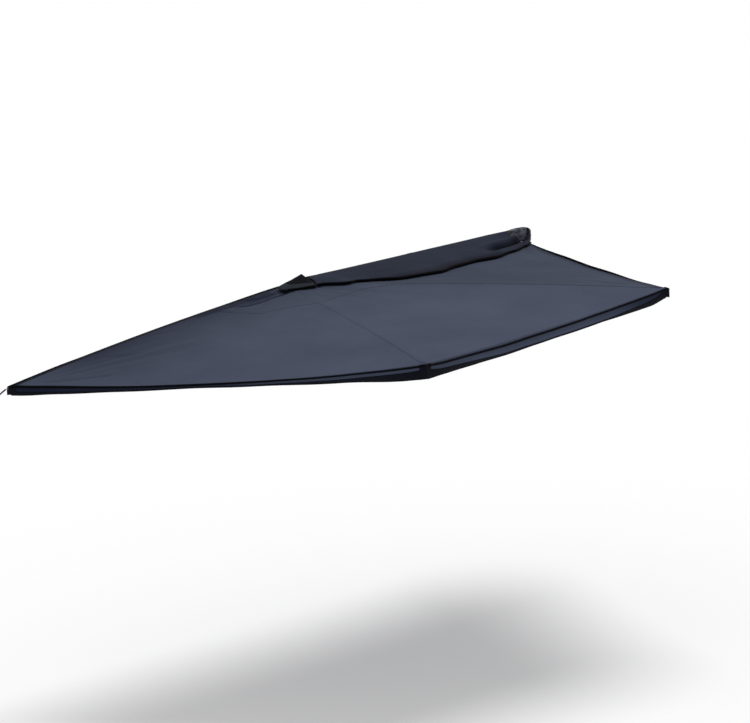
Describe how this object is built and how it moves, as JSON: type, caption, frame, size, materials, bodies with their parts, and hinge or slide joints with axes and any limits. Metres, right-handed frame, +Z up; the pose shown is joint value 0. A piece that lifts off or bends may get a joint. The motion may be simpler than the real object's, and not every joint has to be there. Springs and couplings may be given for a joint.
{
  "type": "vehicle side awning",
  "caption": "Fan awning for a vehicle's side, open: rail on rack brackets, swinging channel arms on one kingpin, joined canopy sectors and stowed telescopic legs",
  "frame": {"origin": "middle of the middle rack bracket's foot, on the underside that rests on the roof rack", "axes": "+X along the rail to its front end, away from the kingpin; -Y away from the vehicle, over the open canopy; +Z up"},
  "size_m": [4.5219, 2.2496, 0.3979],
  "materials": {
    "canopy_cloth": "coated polyester, soft sheen",
    "cover_cloth": "heavier coated cloth, slight sheen",
    "black_webbing": "woven tape",
    "black_powder_coat": "semi-matte powder coat",
    "anodised_aluminium": "satin anodised",
    "zinc_plated_steel": "zinc plated",
    "cast_aluminium": "as cast",
    "black_plastic": "moulded, matte",
    "black_rubber": "matte",
    "guy_rope": "braided cord"
  },
  "bodies": {
    "rail": {"backbone_rail": "black_powder_coat", "bracket_stud_bar_front": "zinc_plated_steel", "bracket_stud_bar_mid": "zinc_plated_steel", "bracket_stud_bar_rear": "zinc_plated_steel", "canopy_batten": "anodised_aluminium", "casting_stud_bar_lower": "zinc_plated_steel", "casting_stud_bar_upper": "zinc_plated_steel", "cover_end_sock": "cover_cloth", "hub_casting": "cast_aluminium", "hub_cover": "cover_cloth", "kingpin": "zinc_plated_steel", "kingpin_acorn_nut": "zinc_plated_steel", "rack_bracket_front": "black_powder_coat", "rack_bracket_mid": "black_powder_coat", "rack_bracket_rear": "black_powder_coat", "rail_end_cap": "black_plastic", "thrust_washer_1": "zinc_plated_steel", "thrust_washer_2": "zinc_plated_steel"},
    "arm_2": {"arm_2_channel": "anodised_aluminium", "arm_2_root": "cast_aluminium", "arm_2_end_cap": "black_plastic", "arm_2_rivet": "zinc_plated_steel", "leg_2_pivot_pin": "zinc_plated_steel", "canopy_front": "canopy_cloth", "valance_front": "canopy_cloth"},
    "leg_2": {"leg_2_knuckle": "black_plastic", "leg_2_outer_tube": "anodised_aluminium", "leg_2_twist_lock": "black_plastic"},
    "leg_2_extension": {"leg_2_inner_tube": "anodised_aluminium", "leg_2_foot": "black_rubber"},
    "arm_3": {"arm_3_channel": "anodised_aluminium", "arm_3_root": "cast_aluminium", "arm_3_end_cap": "black_plastic", "arm_3_rivet": "zinc_plated_steel", "leg_3_pivot_pin": "zinc_plated_steel", "canopy_middle": "canopy_cloth", "valance_middle": "canopy_cloth", "guy_tab_3": "black_webbing"},
    "leg_3": {"leg_3_knuckle": "black_plastic", "leg_3_outer_tube": "anodised_aluminium", "leg_3_twist_lock": "black_plastic"},
    "leg_3_extension": {"leg_3_inner_tube": "anodised_aluminium", "leg_3_foot": "black_rubber"},
    "arm_4": {"arm_4_channel": "anodised_aluminium", "arm_4_root": "cast_aluminium", "arm_4_end_cap": "black_plastic", "arm_4_rivet": "zinc_plated_steel", "leg_4_pivot_pin": "zinc_plated_steel", "canopy_rear": "canopy_cloth", "valance_rear": "canopy_cloth", "guy_tab_4": "black_webbing", "guy_ring": "zinc_plated_steel", "guy_rope": "guy_rope", "guy_hook": "zinc_plated_steel"},
    "leg_4": {"leg_4_knuckle": "black_plastic", "leg_4_outer_tube": "anodised_aluminium", "leg_4_twist_lock": "black_plastic"},
    "leg_4_extension": {"leg_4_inner_tube": "anodised_aluminium", "leg_4_foot": "black_rubber"},
    "cover": {"cover_flap": "cover_cloth"}
  },
  "joints": [
    {"name": "arm_2_swing", "type": "hinge", "parent": "rail", "child": "arm_2", "pos_m": [-1.108, -0.0973, 0.082], "axis": [-0.0522, 0.0522, 0.9973], "range_deg": [0, 67], "deforming": ["canopy_front", "valance_front", "cover_flap"]},
    {"name": "arm_3_swing", "type": "hinge", "parent": "arm_2", "child": "arm_3", "pos_m": [-1.108, -0.0973, 0.082], "axis": [-0.0522, 0.0522, 0.9973], "range_deg": [0, 53], "deforming": ["canopy_middle", "valance_middle"]},
    {"name": "arm_4_swing", "type": "hinge", "parent": "arm_3", "child": "arm_4", "pos_m": [-1.108, -0.0973, 0.082], "axis": [-0.0522, 0.0522, 0.9973], "range_deg": [0, 63], "deforming": ["canopy_rear", "valance_rear"]},
    {"name": "cover_lift", "type": "hinge", "parent": "rail", "child": "cover", "pos_m": [0, -0.0648, 0.1005], "axis": [-1, 0, 0], "range_deg": [0, 100]},
    {"name": "leg_2_fold", "type": "hinge", "parent": "arm_2", "child": "leg_2", "pos_m": [-0.27246, -2.05221, 0.10021], "axis": [-0.9163, -0.3924, -0.0798], "range_deg": [0, 90]},
    {"name": "leg_2_extend", "type": "slide", "parent": "leg_2", "child": "leg_2_extension", "axis": [-0.3926, 0.9196, -0.0136], "range_m": [0, 0.58]},
    {"name": "leg_3_fold", "type": "hinge", "parent": "arm_3", "child": "leg_3", "pos_m": [-2.19465, -1.92284, -0.00926], "axis": [-0.8596, 0.4959, -0.1233], "range_deg": [0, 90]},
    {"name": "leg_3_extend", "type": "slide", "parent": "leg_3", "child": "leg_3_extension", "axis": [0.4956, 0.8678, 0.0356], "range_m": [0, 0.58]},
    {"name": "leg_4_fold", "type": "hinge", "parent": "arm_4", "child": "leg_4", "pos_m": [-3.21322, 0.07977, -0.16947], "axis": [0.0576, 0.9932, -0.1013], "range_deg": [0, 90]},
    {"name": "leg_4_extend", "type": "slide", "parent": "leg_4", "child": "leg_4_extension", "axis": [0.9929, -0.0465, 0.1095], "range_m": [0, 0.58]}
  ]
}
